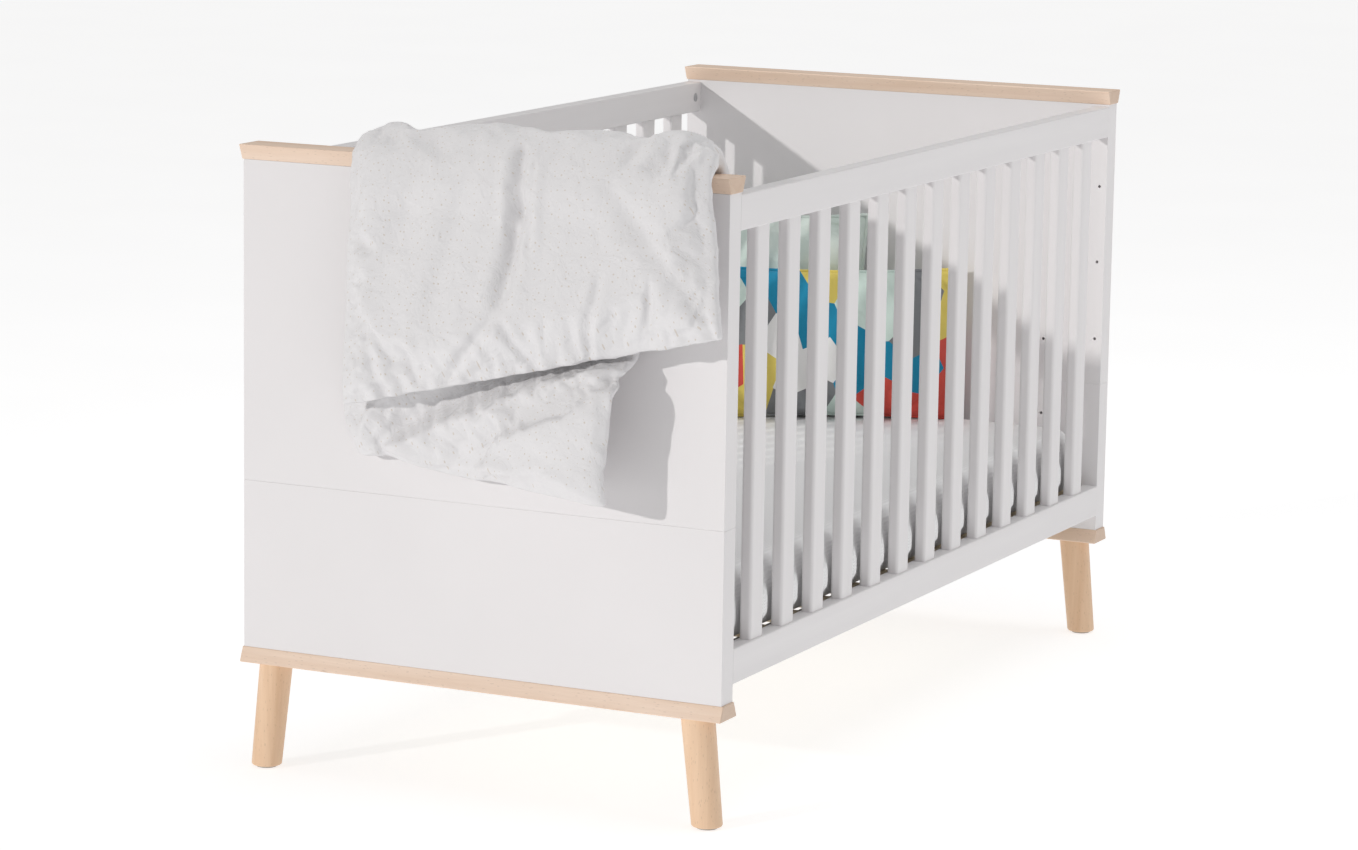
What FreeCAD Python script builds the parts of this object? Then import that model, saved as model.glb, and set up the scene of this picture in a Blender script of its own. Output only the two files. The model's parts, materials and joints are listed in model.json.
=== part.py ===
import FreeCAD, Part
import math
import os
from FreeCAD import Vector

# Baby crib, millimetres. Origin on the floor, midway between the four feet.
# +X is the slatted side with the slip bars, -Y the foot end, +Y the head end, +Z up.

# ---------------------------------------------------------------- driving dimensions
mattress_width = 700.0
mattress_length = 1400.0
mattress_height = 100.0
mattress_side_gap = 8.0
mattress_end_gap = 6.0
rail_thickness = 25.0
board_thickness = 36.0
board_bottom = 179.0
board_seam = 424.5
board_top = 888.0
arris = 0.8

beech_height = 22.0
beech_flare = 9.0
beech_end_lap = 2.5
beech_arris = 1.5

leg_top_radius = 24.0
leg_bottom_radius = 22.0
leg_top_x = 339.0
leg_bottom_x = 356.0
leg_end_round = 3.0
leg_spare = 20.0
glide_radius = 15.0
glide_height = 3.0

top_rail_bottom = 834.5
top_rail_height = 50.0
low_rail_bottom = 203.0
low_rail_height = 50.5
rail_round = 2.0

slat_count = 13
slat_pitch = 103.86
slat_width = 42.0
slat_thickness = 18.0
slat_round = 5.0
tenon_length = 12.0
slip_bars = (6, 7, 8)
slip_lift = 12.0
slip_peg_radius = 5.0
slip_peg_length = 9.0
slip_clearance = 0.1
spring_height = 2 * slip_lift
spring_radius = 4.5
spring_wire = 0.55
spring_wire_sides = 8
spring_turns = 6
spring_steps = 12

base_frame_bottom = 212.0
base_frame_height = 30.0
base_frame_wall = 22.0
base_slat_count = 13
base_slat_width = 60.0
base_slat_height = 8.0
base_slat_inset = 3.0
base_side_gap = 4.0
base_step = 125.0
base_steps = 2

bracket_thickness = 3.0
bracket_width = 40.0
bracket_height = 46.0
bracket_reach = 30.0
bracket_x = 290.0
peg_radius = 4.0
peg_length = 16.0
screw_radius = 2.5
screw_length = 22.0
screw_head_radius = 4.5
screw_rise = 34.0

dowel_radius = 4.0
dowel_length = 36.0
dowels_per_joint = 5
dowel_edge = 80.0
dowel_in_beech = 16.0
stud_radius = 4.0
stud_length = 70.0
cam_pin_radius = 3.5
cam_pin_in_panel = 10.0
cam_pin_in_rail = 24.0
cam_radius = 7.5
cam_depth = 14.0
cam_setback = 20.0
fit_gap = 0.05
overrun = 1.0

side_hole_radius = 2.5
side_hole_depth = 12.0
side_hole_heights = (500.0, 628.0, 753.0)

sheet_thickness = 1.0
mattress_round = 26.0
sheet_hem = 60.0
soft_gap = 0.5
side_rim = 6.0
top_rim = 9.0
crown = 1.08
patchwork_size = (420.0, 280.0, 110.0)
patchwork_turn = 28.0
patchwork_lean = 3.0
patchwork_place = (-38.0, 583.0)
mint_size = (330.0, 335.0, 85.0)
mint_turn = 17.0
mint_lean = 2.0
mint_place = (-183.0, 631.0)

duvet_left = -178.0
duvet_right = 385.0
duvet_fold = 40.0
duvet_fold_round = 16.0
duvet_front = 832.0
duvet_inside = 655.0
duvet_inner_hem = 640.0
duvet_inner_right = 350.0
duvet_under_layer = 36.0
duvet_off_board = 2.0
upper_hem = [(405.0, 697.0), (310.0, 673.0), (126.0, 627.0), (-98.0, 575.0), (duvet_left, 545.0)]
under_hem = [(-185.0, 620.0), (-185.0, 540.0), (-155.0, 483.0), (52.0, 472.0),
             (215.0, 445.0), (235.0, 640.0)]

# ---------------------------------------------------------------- derived dimensions
inner_width = mattress_width + 2 * mattress_side_gap
inner_length = mattress_length + 2 * mattress_end_gap
board_width = inner_width + 2 * rail_thickness
inner_y = inner_length / 2
board_y = inner_y + board_thickness / 2
outer_y = inner_y + board_thickness
rail_x = (inner_width + rail_thickness) / 2
cap_top = board_top + beech_height
beech_bottom = board_bottom - beech_height
beech_width = board_width + 2 * beech_end_lap
top_rail_top = top_rail_bottom + top_rail_height
low_rail_top = low_rail_bottom + low_rail_height
slip_bar_top = top_rail_bottom + tenon_length
base_frame_top = base_frame_bottom + base_frame_height
mattress_bottom = base_frame_top + base_slat_height
mattress_top = mattress_bottom + mattress_height
base_half_x = inner_width / 2 - base_side_gap
base_half_y = mattress_length / 2
flange_bottom = base_frame_bottom - bracket_thickness
peg_y = base_half_y - base_frame_wall / 2

ENDS = {"foot": -1, "head": 1}
SIDES = {"left": -1, "right": 1}
X_AXIS = Vector(1, 0, 0)
Y_AXIS = Vector(0, 1, 0)
Z_AXIS = Vector(0, 0, 1)
MITRED = 1


# ---------------------------------------------------------------- helpers
def box(low, high):
    """Block between two opposite corners given in any order."""
    corner = [min(a, b) for a, b in zip(low, high)]
    size = [abs(b - a) for a, b in zip(low, high)]
    return Part.makeBox(*size, Vector(*corner))


def rounded(shape, radius, keep=lambda edge: True):
    """Shape with the chosen straight edges rounded."""
    return shape.makeFillet(radius, [edge for edge in shape.Edges if keep(edge)])


def upright(edge):
    a, b = (vertex.Point for vertex in edge.Vertexes)
    return abs(a.x - b.x) < 1e-6 and abs(a.y - b.y) < 1e-6


def lengthwise(edge):
    a, b = (vertex.Point for vertex in edge.Vertexes)
    return abs(a.y - b.y) > inner_length / 2


def cut_all(shape, tools):
    """Shape with every tool solid removed in one pass."""
    return shape.cut(tools) if tools else shape


def prism(points, travel):
    """Straight solid whose section is the polygon through points."""
    wire = Part.makePolygon(points + points[:1])
    return Part.Face(wire).extrude(travel)


def save(name, *solids):
    shape = solids[0] if len(solids) == 1 else Part.makeCompound(list(solids))
    shape.exportStep("parts/" + name + ".step")


# ---------------------------------------------------------------- end boards
def dowel_columns():
    """X positions of the wooden dowels along one joint."""
    reach = board_width / 2 - dowel_edge
    step = 2 * reach / (dowels_per_joint - 1)
    return [-reach + i * step for i in range(dowels_per_joint)]


def dowel(x, y, joint_z, radius=dowel_radius, below=dowel_length / 2, above=dowel_length / 2):
    height = below + above
    return Part.makeCylinder(radius, height, Vector(x, y, joint_z - below), Z_AXIS)


def seam_dowels(sign, **fit):
    return [dowel(x, sign * board_y, board_seam, **fit) for x in dowel_columns()]


def cap_dowels(sign, **fit):
    return [dowel(x, sign * board_y, board_top, above=dowel_in_beech, **fit)
            for x in dowel_columns()]


def foot_rail_dowels(sign, **fit):
    return [dowel(x, sign * board_y, board_bottom, below=dowel_in_beech, **fit)
            for x in dowel_columns()[1:-1]]


def all_dowels(sign, **fit):
    return seam_dowels(sign, **fit) + cap_dowels(sign, **fit) + foot_rail_dowels(sign, **fit)


def side_holes(sign):
    """Blind holes on the rail line, where the low conversion sides screw on."""
    return [Part.makeCylinder(side_hole_radius, side_hole_depth,
                              Vector(side * rail_x, sign * inner_y, z), Y_AXIS * sign)
            for side in SIDES.values() for z in side_hole_heights]


def cam_pin(side, sign, z, gap=0.0):
    start = Vector(side * rail_x, sign * (inner_y + cam_pin_in_panel + gap), z)
    length = cam_pin_in_panel + cam_pin_in_rail + 2 * gap
    return Part.makeCylinder(cam_pin_radius + gap, length, start, Y_AXIS * -sign)


def rail_heights():
    return (low_rail_bottom + low_rail_height / 2, top_rail_bottom + top_rail_height / 2)


def cam_pins(side, sign, gap=0.0):
    return [cam_pin(side, sign, z, gap) for z in rail_heights()]


def bracket_screw_places():
    """X and Z of the screws that hold the base brackets to one end board."""
    return [(side * bracket_x + shift, flange_bottom + screw_rise)
            for side in SIDES.values()
            for shift in (-bracket_width / 4, bracket_width / 4)]


def bracket_screw(x, z, sign, gap=0.0):
    face = sign * (inner_y - bracket_thickness)
    shank = Part.makeCylinder(screw_radius + gap, screw_length + gap, Vector(x, face, z), Y_AXIS * sign)
    head = Part.makeCone(screw_head_radius + gap, screw_radius + gap, screw_radius,
                         Vector(x, face, z), Y_AXIS * sign)
    return shank.fuse(head)


def base_fixing_holes(sign):
    """Screw holes for the brackets at the lowest height and at each higher step."""
    depth = screw_length - bracket_thickness + fit_gap
    return [Part.makeCylinder(screw_radius + fit_gap, depth,
                              Vector(x, sign * inner_y, z + step * base_step), Y_AXIS * sign)
            for x, z in bracket_screw_places() for step in range(base_steps + 1)]


def panel_board(sign, low, high):
    half = board_width / 2
    board = box((-half, sign * inner_y, low), (half, sign * outer_y, high))
    board = rounded(board, arris)
    tools = all_dowels(sign, radius=dowel_radius + fit_gap) + side_holes(sign)
    tools += base_fixing_holes(sign)
    for side in SIDES.values():
        tools += cam_pins(side, sign, fit_gap)
    tools += [leg_stud(side, sign, fit_gap) for side in SIDES.values()]
    span = box((-half, -outer_y, low), (half, outer_y, high))
    return cut_all(board, [tool for tool in tools if tool.common(span).Volume > 1e-3])


def beech_strip(sign, narrow_z, wide_z):
    """Solid strip that flares from the board's thickness to its wide face."""
    inner = sign * inner_y
    outer = sign * outer_y
    flare = sign * beech_flare
    half = beech_width / 2
    points = [Vector(-half, inner, narrow_z), Vector(-half, outer, narrow_z),
              Vector(-half, outer + flare, wide_z), Vector(-half, inner - flare, wide_z)]
    return rounded(prism(points, X_AXIS * beech_width), beech_arris)


def top_cap(sign):
    strip = beech_strip(sign, board_top, cap_top)
    return cut_all(strip, cap_dowels(sign, radius=dowel_radius + fit_gap))


def bottom_rail(sign):
    strip = beech_strip(sign, board_bottom, beech_bottom)
    tools = foot_rail_dowels(sign, radius=dowel_radius + fit_gap)
    tools += [leg_stud(side, sign, fit_gap) for side in SIDES.values()]
    return cut_all(strip, tools)


# ---------------------------------------------------------------- legs
def leg_axis(side):
    return Vector(side * (leg_top_x - leg_bottom_x), 0, beech_bottom)


def leg_stud(side, sign, gap=0.0):
    """Steel stud on the leg's own axis, half in the leg and half in the end board."""
    direction = leg_axis(side).normalize()
    middle = Vector(side * leg_top_x, sign * board_y, beech_bottom)
    start = middle - direction * (stud_length / 2 + gap)
    return Part.makeCylinder(stud_radius + gap, stud_length + 2 * gap, start, direction)


def leg(side, sign):
    direction = leg_axis(side)
    taper = (leg_top_radius - leg_bottom_radius) / direction.Length
    start = Vector(side * leg_bottom_x, sign * board_y, 0) - direction.normalize() * leg_spare
    length = leg_axis(side).Length + 2 * leg_spare
    turned = Part.makeCone(leg_bottom_radius - taper * leg_spare, leg_top_radius + taper * leg_spare,
                           length, start, direction)
    reach = 3 * leg_top_radius
    middle_x = side * (leg_top_x + leg_bottom_x) / 2
    band = box((middle_x - reach, sign * board_y - reach, glide_height),
               (middle_x + reach, sign * board_y + reach, beech_bottom))
    turned = turned.common(band)
    low_edge = [e for e in turned.Edges if e.BoundBox.ZMax < glide_height + overrun]
    turned = turned.makeFillet(leg_end_round, low_edge)
    return turned.cut(leg_stud(side, sign, fit_gap))


def glide(side, sign):
    centre_x = side * (leg_bottom_x - (leg_bottom_x - leg_top_x) * glide_height / beech_bottom)
    disc = Part.makeCylinder(glide_radius, glide_height, Vector(centre_x, sign * board_y, 0), Z_AXIS)
    low_edge = [e for e in disc.Edges if e.BoundBox.ZMax < glide_height / 2]
    return disc.makeFillet(arris, low_edge)


# ---------------------------------------------------------------- slatted sides
def slat_y(number):
    return (number - (slat_count + 1) / 2) * slat_pitch


def bar(side, number, low, high, gap=0.0):
    """Flat upright bar with rounded edges."""
    y = slat_y(number)
    half_x = slat_thickness / 2 + gap
    half_y = slat_width / 2 + gap
    x = side * rail_x
    block = box((x - half_x, y - half_y, low), (x + half_x, y + half_y, high))
    return rounded(block, slat_round + gap, upright)


def fixed_slat(side, number):
    return bar(side, number, low_rail_top - tenon_length, top_rail_bottom + tenon_length)


def slip_peg(number, gap=0.0):
    foot = Vector(rail_x, slat_y(number), low_rail_top - slip_peg_length - gap)
    return Part.makeCylinder(slip_peg_radius + gap, slip_peg_length + gap + overrun, foot, Z_AXIS)


def slip_bar(number):
    """Removable bar: its foot has a peg and its head slides up against a spring."""
    return bar(1, number, low_rail_top, slip_bar_top).fuse(slip_peg(number))


def slip_spring(number):
    """Compression spring: a helix of short straight lengths of wire, capped at both ends."""
    low = slip_bar_top + spring_wire + fit_gap
    coil_height = spring_height - 2 * (spring_wire + fit_gap)
    steps = spring_turns * spring_steps
    corners = []
    for step in range(steps + 1):
        turn = 2 * math.pi * step / spring_steps
        corners.append(Vector(spring_radius * math.cos(turn), spring_radius * math.sin(turn),
                              coil_height * step / steps))
    along = (corners[1] - corners[0]).normalize()
    across = along.cross(X_AXIS).normalize()
    outward = across.cross(along)
    ring = []
    for side in range(spring_wire_sides + 1):
        turn = 2 * math.pi * side / spring_wire_sides
        ring.append(corners[0] + outward * (spring_wire * math.cos(turn))
                    + across * (spring_wire * math.sin(turn)))
    coil = Part.makePolygon(corners).makePipeShell([Part.makePolygon(ring)], True, False, MITRED)
    coil.translate(Vector(rail_x, slat_y(number), low))
    return coil


def side_rail(side, low, high):
    x_in = side * inner_width / 2
    x_out = side * board_width / 2
    rail = box((x_in, -inner_y, low), (x_out, inner_y, high))
    return rounded(rail, rail_round, lengthwise)


def cam_lock(side, sign, z):
    x_in = side * inner_width / 2
    centre = Vector(x_in, sign * (inner_y - cam_setback), z)
    disc = Part.makeCylinder(cam_radius, cam_depth, centre, X_AXIS * side)
    return disc.cut(cam_pin(side, sign, z, fit_gap))


def cam_pocket(side, sign, z):
    x_in = side * inner_width / 2
    centre = Vector(x_in, sign * (inner_y - cam_setback), z)
    return Part.makeCylinder(cam_radius + fit_gap, cam_depth + fit_gap, centre, X_AXIS * side)


def rail_fittings(side, z):
    tools = [cam_pin(side, sign, z, fit_gap) for sign in ENDS.values()]
    return tools + [cam_pocket(side, sign, z) for sign in ENDS.values()]


def is_slip(side, number):
    return side > 0 and number in slip_bars


def top_rail(side):
    tools = rail_fittings(side, rail_heights()[1])
    for number in range(1, slat_count + 1):
        if is_slip(side, number):
            spring_top = slip_bar_top + spring_height
            tools.append(bar(side, number, top_rail_bottom - overrun, spring_top, slip_clearance))
        else:
            tools.append(bar(side, number, top_rail_bottom - overrun, top_rail_bottom + tenon_length))
    return cut_all(side_rail(side, top_rail_bottom, top_rail_top), tools)


def low_rail(side):
    tools = rail_fittings(side, rail_heights()[0])
    for number in range(1, slat_count + 1):
        if is_slip(side, number):
            tools.append(slip_peg(number, fit_gap))
        else:
            tools.append(bar(side, number, low_rail_top - tenon_length, low_rail_top + overrun))
    return cut_all(side_rail(side, low_rail_bottom, low_rail_top), tools)


# ---------------------------------------------------------------- height-adjustable base
def peg_places():
    return [(side * bracket_x, sign * peg_y) for side in SIDES.values() for sign in ENDS.values()]


def base_peg(x, y, gap=0.0):
    low = flange_bottom - bracket_thickness
    return Part.makeCylinder(peg_radius + gap, peg_length, Vector(x, y, low), Z_AXIS)


def base_frame():
    members = []
    for side in SIDES.values():
        members.append(box((side * (base_half_x - base_frame_wall), -base_half_y, base_frame_bottom),
                           (side * base_half_x, base_half_y, base_frame_top)))
    for sign in ENDS.values():
        inner = base_half_x - base_frame_wall
        members.append(box((-inner, sign * (base_half_y - base_frame_wall), base_frame_bottom),
                           (inner, sign * base_half_y, base_frame_top)))
    members = [rounded(member, arris) for member in members]
    pegs = [base_peg(x, y, fit_gap) for x, y in peg_places()]
    return members[:2] + [member.cut(pegs) for member in members[2:]]


def base_slat(index):
    first = -base_half_y + base_slat_width / 2 + base_slat_inset
    step = -2 * first / (base_slat_count - 1)
    y = first + index * step
    half_x = base_half_x - base_slat_inset
    half_y = base_slat_width / 2
    slat = box((-half_x, y - half_y, base_frame_top), (half_x, y + half_y, mattress_bottom))
    return rounded(slat, rail_round, upright)


def bracket(side, sign):
    """Angle plate: one leg on the end board, the other under the base's end member."""
    low_x = side * bracket_x - bracket_width / 2
    high_x = side * bracket_x + bracket_width / 2
    wall = sign * inner_y
    plate = box((low_x, wall, flange_bottom),
                (high_x, wall - sign * bracket_thickness, flange_bottom + bracket_height))
    flange = box((low_x, wall, flange_bottom),
                 (high_x, wall - sign * bracket_reach, flange_bottom + bracket_thickness))
    tools = [bracket_screw(x, z, sign, fit_gap) for x, z in bracket_screw_places()
             if x * side > 0]
    tools.append(base_peg(side * bracket_x, sign * peg_y, fit_gap))
    return plate.fuse(flange).removeSplitter().cut(tools)


# ---------------------------------------------------------------- bedding
def soft_block(inset, low, high, round_radius):
    half_x = mattress_width / 2 - inset
    half_y = mattress_length / 2 - inset
    return rounded(box((-half_x, -half_y, low), (half_x, half_y, high)), round_radius)


def mattress_core():
    return soft_block(sheet_thickness, mattress_bottom + sheet_thickness,
                      mattress_top - sheet_thickness, mattress_round - sheet_thickness)


def fitted_sheet():
    """Thin cover over the mattress, open under it inside the hem."""
    outside = soft_block(0.0, mattress_bottom, mattress_top, mattress_round)
    half_x = mattress_width / 2 - sheet_hem
    half_y = mattress_length / 2 - sheet_hem
    opening = box((-half_x, -half_y, mattress_bottom - overrun),
                  (half_x, half_y, mattress_bottom + sheet_thickness + overrun))
    return outside.cut([mattress_core(), opening])


def lens(half_span, half_depth, end_depth, travel, along):
    """Solid between two shallow arcs: thick in the middle, thin at both ends."""
    if along == "width":
        def place(u, v):
            return Vector(u, v, 0)
    else:
        def place(u, v):
            return Vector(0, v, u)
    left, right = -half_span, half_span
    back = Part.Arc(place(left, end_depth), place(0, half_depth), place(right, end_depth))
    front = Part.Arc(place(right, -end_depth), place(0, -half_depth), place(left, -end_depth))
    ends = [Part.LineSegment(place(right, end_depth), place(right, -end_depth)),
            Part.LineSegment(place(left, -end_depth), place(left, end_depth))]
    wire = Part.Wire([back.toShape(), ends[0].toShape(), front.toShape(), ends[1].toShape()])
    return Part.Face(wire).extrude(travel)


def cushion(size, turn, lean, place):
    """Standing cushion with pinched edges, resting on the mattress and leaning back."""
    width, height, depth = size
    across = lens(width / 2, depth / 2, side_rim, Vector(0, 0, height), "width")
    across.translate(Vector(0, 0, -height / 2))
    upward = lens(height / 2, crown * depth / 2, top_rim, Vector(width, 0, 0), "height")
    upward.translate(Vector(-width / 2, 0, 0))
    body = across.common(upward)
    body.rotate(Vector(0, 0, 0), X_AXIS, -lean)
    body.rotate(Vector(0, 0, 0), Z_AXIS, turn)
    lowest = body.optimalBoundingBox().ZMin
    body.translate(Vector(place[0], place[1], mattress_top + soft_gap - lowest))
    return body


def duvet():
    """Folded duvet hung over the foot board, in two layers outside and one inside."""
    outer_face = outer_y + beech_flare + duvet_off_board
    inner_face = inner_y - beech_flare - duvet_off_board
    middle = cap_top + duvet_fold / 2
    shoulders = [(duvet_left, middle), (duvet_right, middle)]
    upper_layer = prism([Vector(x, -duvet_front, z) for x, z in shoulders + upper_hem],
                        Vector(0, duvet_front - outer_face, 0))
    under_layer = prism([Vector(x, -outer_face - duvet_under_layer, z) for x, z in under_hem],
                        Vector(0, duvet_under_layer, 0))
    saddle = box((duvet_left, -duvet_front, cap_top + soft_gap),
                 (duvet_right, -duvet_inside, cap_top + duvet_fold))
    saddle = rounded(saddle, duvet_fold_round, lambda e: e.BoundBox.ZMin > middle)
    inner_flap = box((duvet_left, -inner_face, duvet_inner_hem),
                     (duvet_inner_right, -duvet_inside, middle))
    return upper_layer.fuse([under_layer, saddle, inner_flap]).removeSplitter()


# ---------------------------------------------------------------- sub-parts
def make_ends():
    for end, sign in ENDS.items():
        save(end + "_panel_lower", panel_board(sign, board_bottom, board_seam))
        save(end + "_panel_upper", panel_board(sign, board_seam, board_top))
        save(end + "_top_cap", top_cap(sign))
        save(end + "_bottom_rail", bottom_rail(sign))
        for name, side in SIDES.items():
            save("leg_" + end + "_" + name, leg(side, sign))


def make_sides():
    for name, side in SIDES.items():
        save(name + "_top_rail", top_rail(side))
        save(name + "_bottom_rail", low_rail(side))
        for number in range(1, slat_count + 1):
            if not is_slip(side, number):
                save("%s_slat_%02d" % (name, number), fixed_slat(side, number))
    for index, number in enumerate(slip_bars, 1):
        save("slip_bar_%d" % index, slip_bar(number))
        save("slip_spring_%d" % index, slip_spring(number))


def make_base():
    save("base_frame", *base_frame())
    save("base_slats", *[base_slat(i) for i in range(base_slat_count)])
    save("base_pegs", *[base_peg(x, y) for x, y in peg_places()])
    save("base_brackets", *[bracket(side, sign) for side in SIDES.values() for sign in ENDS.values()])
    save("base_bracket_screws", *[bracket_screw(x, z, sign) for sign in ENDS.values()
                                  for x, z in bracket_screw_places()])


def make_fittings():
    corners = [(side, sign) for side in SIDES.values() for sign in ENDS.values()]
    save("leg_studs", *[leg_stud(side, sign) for side, sign in corners])
    save("leg_glides", *[glide(side, sign) for side, sign in corners])
    save("panel_dowels", *[pin for sign in ENDS.values() for pin in all_dowels(sign)])
    save("rail_cam_pins", *[pin for side, sign in corners for pin in cam_pins(side, sign)])
    save("rail_cam_locks", *[cam_lock(side, sign, z) for side, sign in corners for z in rail_heights()])


def make_bedding():
    save("mattress", mattress_core())
    save("fitted_sheet", fitted_sheet())
    save("patchwork_cushion",
         cushion(patchwork_size, patchwork_turn, patchwork_lean, patchwork_place))
    save("mint_cushion", cushion(mint_size, mint_turn, mint_lean, mint_place))
    save("duvet", duvet())


os.makedirs("parts", exist_ok=True)
make_ends()
make_sides()
make_base()
make_fittings()
make_bedding()
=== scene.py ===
import json
import math

import bpy
from mathutils import Euler, Matrix, Vector, noise


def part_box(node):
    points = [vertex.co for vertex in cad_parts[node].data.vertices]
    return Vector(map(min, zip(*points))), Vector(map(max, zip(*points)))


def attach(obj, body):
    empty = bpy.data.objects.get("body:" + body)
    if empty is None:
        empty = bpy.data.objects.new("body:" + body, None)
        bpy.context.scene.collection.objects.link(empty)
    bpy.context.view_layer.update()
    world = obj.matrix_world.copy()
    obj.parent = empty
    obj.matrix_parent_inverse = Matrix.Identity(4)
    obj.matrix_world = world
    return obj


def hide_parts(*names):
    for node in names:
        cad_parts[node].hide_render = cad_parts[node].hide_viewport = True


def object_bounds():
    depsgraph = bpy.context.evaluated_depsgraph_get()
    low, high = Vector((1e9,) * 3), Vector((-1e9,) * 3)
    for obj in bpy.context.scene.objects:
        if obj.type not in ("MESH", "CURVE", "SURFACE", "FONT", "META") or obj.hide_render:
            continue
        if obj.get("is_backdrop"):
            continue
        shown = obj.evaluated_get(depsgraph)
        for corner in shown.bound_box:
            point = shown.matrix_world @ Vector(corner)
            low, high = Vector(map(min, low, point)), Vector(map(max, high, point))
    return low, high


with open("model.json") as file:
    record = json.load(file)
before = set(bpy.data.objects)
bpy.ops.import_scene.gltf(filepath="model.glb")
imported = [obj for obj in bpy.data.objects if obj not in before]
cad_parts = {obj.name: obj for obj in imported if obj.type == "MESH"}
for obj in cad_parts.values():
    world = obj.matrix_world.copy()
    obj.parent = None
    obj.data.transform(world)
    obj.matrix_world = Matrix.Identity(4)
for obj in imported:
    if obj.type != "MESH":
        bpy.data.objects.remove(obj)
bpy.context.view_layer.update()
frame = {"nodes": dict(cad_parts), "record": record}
scene = bpy.context.scene
X, Y, Z = 0, 1, 2

# ------------------------------------------------------------------ sizes, metres
board_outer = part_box("foot_panel_upper")[0].y
board_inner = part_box("foot_panel_upper")[1].y
cap_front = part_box("foot_top_cap")[0].y
cap_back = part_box("foot_top_cap")[1].y
cap_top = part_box("foot_top_cap")[1].z
mattress_low, mattress_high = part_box("mattress")
bed_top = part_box("fitted_sheet")[1].z

duvet_voxel = 0.0065
duvet_thickness = 0.050
duvet_rim_share = 0.30
duvet_left_top, duvet_left_low = -0.182, -0.172
duvet_right_top, duvet_right_low = 0.354, 0.408
duvet_hem_middle, duvet_hem_slope = 0.604, 0.240
duvet_inner_hem = 0.652
duvet_clear = 0.0015
duvet_creases = [
    ((0.102, 0.940), (0.112, 0.845), 0.0085, 0.016), ((0.112, 0.860), (0.086, 0.725), 0.0100, 0.013),
    ((0.080, 0.710), (-0.004, 0.612), 0.0055, 0.008), ((0.092, 0.705), (0.134, 0.630), 0.0055, 0.009),
    ((0.126, 0.932), (0.128, 0.800), 0.0045, 0.007), ((0.095, 0.900), (0.101, 0.780), 0.0040, 0.005),
    ((0.030, 0.900), (-0.020, 0.700), 0.0150, 0.004), ((0.240, 0.900), (0.385, 0.735), 0.0120, 0.005),
    ((0.240, 0.775), (0.207, 0.640), 0.0050, 0.008), ((0.380, 0.740), (0.404, 0.690), 0.0060, 0.006),
    ((-0.128, 0.670), (-0.100, 0.575), 0.0060, 0.007), ((-0.064, 0.665), (-0.045, 0.605), 0.0060, 0.007),
    ((-0.060, 0.850), (-0.120, 0.720), 0.0260, 0.006), ((0.306, 0.930), (0.270, 0.830), 0.0260, 0.006)]

under_left, under_right = -0.172, 0.262
under_tip_x, under_tip_z = -0.176, 0.486
under_low_right = 0.452
under_thickness = 0.034
under_voxel = 0.0055
under_ridges = [(23, 4, 0.010), (15, 7, 0.008), (36, 7, -0.012), (64, 9, 0.012), (3, 3, 0.004), (-3, 3, -0.003)]

cushion_voxel = 0.005
mint_width, mint_height, mint_depth = 0.326, 0.330, 0.078
mint_turn, mint_lean = math.radians(17), math.radians(2)
mint_place = (-0.183, 0.622)
patch_width, patch_height, patch_depth = 0.416, 0.250, 0.106
patch_turn, patch_lean = math.radians(28), math.radians(3)
patch_place = Vector((-0.038, 0.576, bed_top + patch_height / 2))
cushion_fullness = 0.46
slat_pitch = (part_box("right_slat_02")[0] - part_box("right_slat_01")[0]).y
bulge_low, bulge_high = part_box("right_bottom_rail")[1].z + 0.004, 0.322
piping_radius = 0.0035
mattress_voxel = 0.007
mattress_corner, mattress_top_edge, mattress_low_edge = 0.045, 0.024, 0.009
sheet_cloth = 0.0010
sheet_hem = 0.060
swell_frames = 20
camera_place = Vector((2.9313, -6.1559, 1.6105))
camera_turn, camera_tilt, camera_roll = 0.4507, 0.1719, 0.0157
camera_lens = 118.37
sunlight = Vector((0.516, 1.0, -0.315))


# ------------------------------------------------------------------ material helpers
def start_finish(name):
    """A new material, its node tree and its surface shader."""
    finish = bpy.data.materials.new(name)
    finish.use_nodes = True
    return finish, finish.node_tree, finish.node_tree.nodes["Principled BSDF"]


def add(tree, kind, **settings):
    """One shader node; a setting names an input socket or else one of the node's own choices."""
    made = tree.nodes.new("ShaderNode" + kind)
    for name, value in settings.items():
        spoken = name.replace("_", " ").lower()
        socket = next((s for s in made.inputs if s.enabled and s.name.lower() == spoken), None)
        if socket is None:
            setattr(made, name, value)
        elif isinstance(value, bpy.types.NodeSocket):
            tree.links.new(value, socket)
        else:
            socket.default_value = value
    return made


def reckon(tree, operation, *terms):
    """The result of one sum on numbers or sockets."""
    made = tree.nodes.new("ShaderNodeMath")
    made.operation = operation
    for socket, term in zip(made.inputs, terms):
        if isinstance(term, bpy.types.NodeSocket):
            tree.links.new(term, socket)
        else:
            socket.default_value = term
    return made.outputs[0]


def tones(tree, share, *stops):
    """A colour ramp from (place, colour) stops."""
    ramp = tree.nodes.new("ShaderNodeValToRGB")
    tree.links.new(share, ramp.inputs["Fac"])
    for number, (place, colour) in enumerate(stops):
        if number < 2:
            stop = ramp.color_ramp.elements[number]
            stop.position = place
        else:
            stop = ramp.color_ramp.elements.new(place)
        stop.color = (*colour, 1)
    return ramp.outputs["Color"]


def blend_tones(tree, share, first, second):
    """Two colours mixed by a share."""
    mix = tree.nodes.new("ShaderNodeMix")
    mix.data_type = "RGBA"
    for socket, value in ((mix.inputs[0], share), (mix.inputs[6], first), (mix.inputs[7], second)):
        if isinstance(value, bpy.types.NodeSocket):
            tree.links.new(value, socket)
        else:
            socket.default_value = value if socket == mix.inputs[0] else (*value, 1)
    return mix.outputs[2]


def remap(tree, share, low, high):
    """A share of 0 to 1 brought to low to high."""
    return reckon(tree, "MULTIPLY_ADD", share, high - low, low)


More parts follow.
